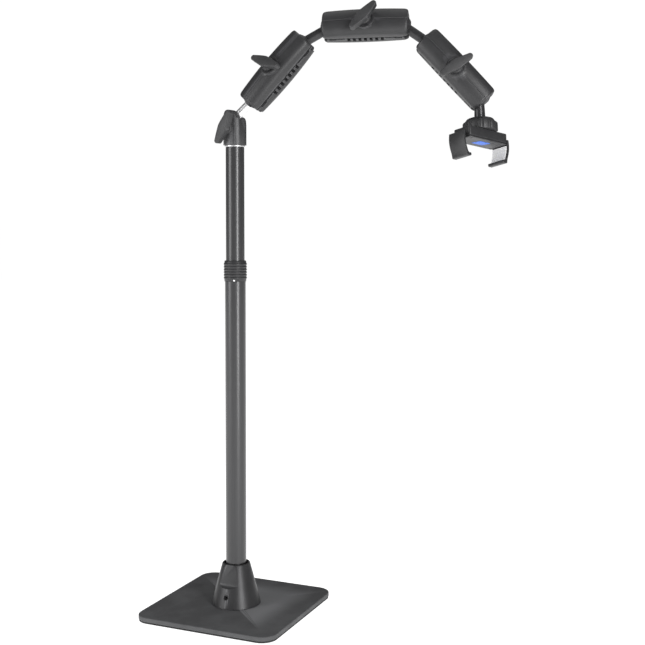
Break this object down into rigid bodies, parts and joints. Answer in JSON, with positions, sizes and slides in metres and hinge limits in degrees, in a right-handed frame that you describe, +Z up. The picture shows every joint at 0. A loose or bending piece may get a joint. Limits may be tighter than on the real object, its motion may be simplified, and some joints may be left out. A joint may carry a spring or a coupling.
{
  "type": "overhead phone stand",
  "caption": "Overhead stand with a weighted square base, telescoping pole, clamp head, jointed ball-socket arms and a sprung holder that grips a phone over a work surface.",
  "frame": {"origin": "centre of the base's underside, on the surface it stands on", "axes": "+Z up along the pole, X and Y along the base's sides; the arms leave towards +X, turned 14 degrees towards +Y"},
  "size_m": [0.4528, 0.2168, 0.8163],
  "materials": {
    "powder_coat": "fine-textured charcoal powder coat",
    "cast_metal": "satin charcoal paint on cast metal",
    "tube_enamel": "semi-gloss dark grey enamel",
    "arm_plastic": "satin charcoal plastic with a fine grain",
    "knob_plastic": "grained charcoal plastic",
    "rod_metal": "smooth dark grey coated metal",
    "bright_steel": "polished nickel plate",
    "mat_rubber": "black rubber",
    "silver_pad": "silver painted plastic",
    "blue_pad": "blue soft-touch plastic"
  },
  "bodies": {
    "base": {"base_plate": "powder_coat", "base_mat": "mat_rubber", "pole_socket": "cast_metal", "base_bolt": "bright_steel", "base_washer": "bright_steel", "set_screw": "bright_steel", "lower_tube": "tube_enamel", "lock_bush": "arm_plastic"},
    "twist_collar": {"twist_collar": "arm_plastic", "collar_pin": "bright_steel"},
    "mast": {"upper_tube": "tube_enamel", "tube_end_bush": "arm_plastic", "head_ring": "bright_steel"},
    "head": {"head_front_jaw": "cast_metal", "head_rear_jaw": "cast_metal", "head_bolt": "bright_steel"},
    "head_knob": {"head_knob": "knob_plastic"},
    "head_shaft": {"head_shaft": "bright_steel"},
    "arm_1": {"arm_1_front_shell": "arm_plastic", "arm_1_spring": "bright_steel"},
    "arm_1_rear": {"arm_1_rear_shell": "arm_plastic", "arm_1_bolt": "bright_steel"},
    "arm_1_knob": {"arm_1_knob": "knob_plastic"},
    "link_1": {"link_1": "rod_metal"},
    "arm_2": {"arm_2_front_shell": "arm_plastic", "arm_2_spring": "bright_steel"},
    "arm_2_rear": {"arm_2_rear_shell": "arm_plastic", "arm_2_bolt": "bright_steel"},
    "arm_2_knob": {"arm_2_knob": "knob_plastic"},
    "link_2": {"link_2": "rod_metal"},
    "arm_3": {"arm_3_front_shell": "arm_plastic", "arm_3_spring": "bright_steel"},
    "arm_3_rear": {"arm_3_rear_shell": "arm_plastic", "arm_3_bolt": "bright_steel"},
    "arm_3_knob": {"arm_3_knob": "knob_plastic"},
    "neck": {"neck": "rod_metal"},
    "ring_nut": {"ring_nut": "arm_plastic", "ball_cup": "arm_plastic"},
    "holder": {"holder_body": "arm_plastic", "holder_cover": "arm_plastic", "back_pad": "blue_pad", "right_jaw": "arm_plastic", "right_jaw_pad": "silver_pad", "jaw_spring": "bright_steel", "cover_screw_1": "bright_steel", "cover_screw_2": "bright_steel"},
    "left_jaw": {"left_jaw": "arm_plastic", "left_jaw_pad": "silver_pad"}
  },
  "joints": [
    {"name": "collar_turn", "type": "hinge", "parent": "base", "child": "twist_collar", "pos_m": [0, 0, 0.463], "axis": [0, 0, 1], "range_deg": [0, 90]},
    {"name": "height_slide", "type": "slide", "parent": "base", "child": "mast", "axis": [0, 0, 1], "range_m": [-0.13, 0.14]},
    {"name": "head_swivel", "type": "hinge", "parent": "mast", "child": "head", "pos_m": [0, 0, 0.6322], "axis": [0, 0, 1], "continuous": true},
    {"name": "head_knob_turn", "type": "hinge", "parent": "head", "child": "head_knob", "pos_m": [0, 0, 0.6558], "axis": [-0.1736, -0.9848, 0], "range_deg": [0, 720]},
    {"name": "head_tilt", "type": "hinge", "parent": "head", "child": "head_shaft", "pos_m": [0, 0, 0.669], "axis": [-0.2419, 0.9703, 0], "range_deg": [-36, 12]},
    {"name": "arm_1_tilt", "type": "hinge", "parent": "head_shaft", "child": "arm_1", "pos_m": [0.0272, 0.00678, 0.69597], "axis": [0.2419, -0.9703, 0], "range_deg": [-40, 14]},
    {"name": "arm_1_knob_turn", "type": "hinge", "parent": "arm_1", "child": "arm_1_knob", "pos_m": [0.05671, 0.01414, 0.73048], "axis": [-0.1675, -0.9252, 0.3406], "range_deg": [0, 360]},
    {"name": "arm_1_clamp", "type": "slide", "parent": "arm_1", "child": "arm_1_rear", "axis": [0.1675, 0.9252, -0.3406], "range_m": [0, 0.001]},
    {"name": "link_1_tilt", "type": "hinge", "parent": "arm_1", "child": "link_1", "pos_m": [0.08623, 0.0215, 0.76498], "axis": [-0.2419, 0.9703, 0], "range_deg": [-42, 27]},
    {"name": "arm_2_tilt", "type": "hinge", "parent": "link_1", "child": "arm_2", "pos_m": [0.1277, 0.03184, 0.7879], "axis": [0.2419, -0.9703, 0], "range_deg": [-19, 45]},
    {"name": "arm_2_knob_turn", "type": "hinge", "parent": "arm_2", "child": "arm_2_knob", "pos_m": [0.17234, 0.04297, 0.7883], "axis": [0.2275, -0.9235, 0.309], "range_deg": [0, 360]},
    {"name": "arm_2_clamp", "type": "slide", "parent": "arm_2", "child": "arm_2_rear", "axis": [-0.2275, 0.9235, -0.309], "range_m": [0, 0.001]},
    {"name": "link_2_tilt", "type": "hinge", "parent": "arm_2", "child": "link_2", "pos_m": [0.21697, 0.0541, 0.7887], "axis": [-0.2419, 0.9703, 0], "range_deg": [-50, 11]},
    {"name": "arm_3_tilt", "type": "hinge", "parent": "link_2", "child": "arm_3", "pos_m": [0.25556, 0.06372, 0.76096], "axis": [0.2419, -0.9703, 0], "range_deg": [-36, 32]},
    {"name": "arm_3_knob_turn", "type": "hinge", "parent": "arm_3", "child": "arm_3_knob", "pos_m": [0.286, 0.07131, 0.72731], "axis": [0.35, -0.9307, 0.1067], "range_deg": [0, 360]},
    {"name": "arm_3_clamp", "type": "slide", "parent": "arm_3", "child": "arm_3_rear", "axis": [-0.35, 0.9307, -0.1067], "range_m": [0, 0.001]},
    {"name": "neck_tilt", "type": "hinge", "parent": "arm_3", "child": "neck", "pos_m": [0.31644, 0.0789, 0.69367], "axis": [-0.2419, 0.9703, 0], "range_deg": [-50, 7]},
    {"name": "holder_tilt", "type": "hinge", "parent": "neck", "child": "ring_nut", "pos_m": [0.31795, 0.07927, 0.6565], "axis": [-0.9703, -0.2419, 0], "range_deg": [-34, 10]},
    {"name": "holder_swivel", "type": "hinge", "parent": "ring_nut", "child": "holder", "pos_m": [0.31795, 0.07927, 0.6565], "axis": [0.1001, -0.1901, -0.9766], "continuous": true},
    {"name": "left_jaw_slide", "type": "slide", "parent": "holder", "child": "left_jaw", "axis": [-0.4762, -0.871, 0.1208], "range_m": [0, 0.02], "stiffness_N_per_m": 250, "springref_m": -0.01}
  ],
  "couplings": [
    {"joint": "arm_1_knob_turn", "follows": "arm_1_clamp", "rad_per_m": 6283.2},
    {"joint": "arm_2_knob_turn", "follows": "arm_2_clamp", "rad_per_m": 6283.2},
    {"joint": "arm_3_knob_turn", "follows": "arm_3_clamp", "rad_per_m": 6283.2}
  ]
}
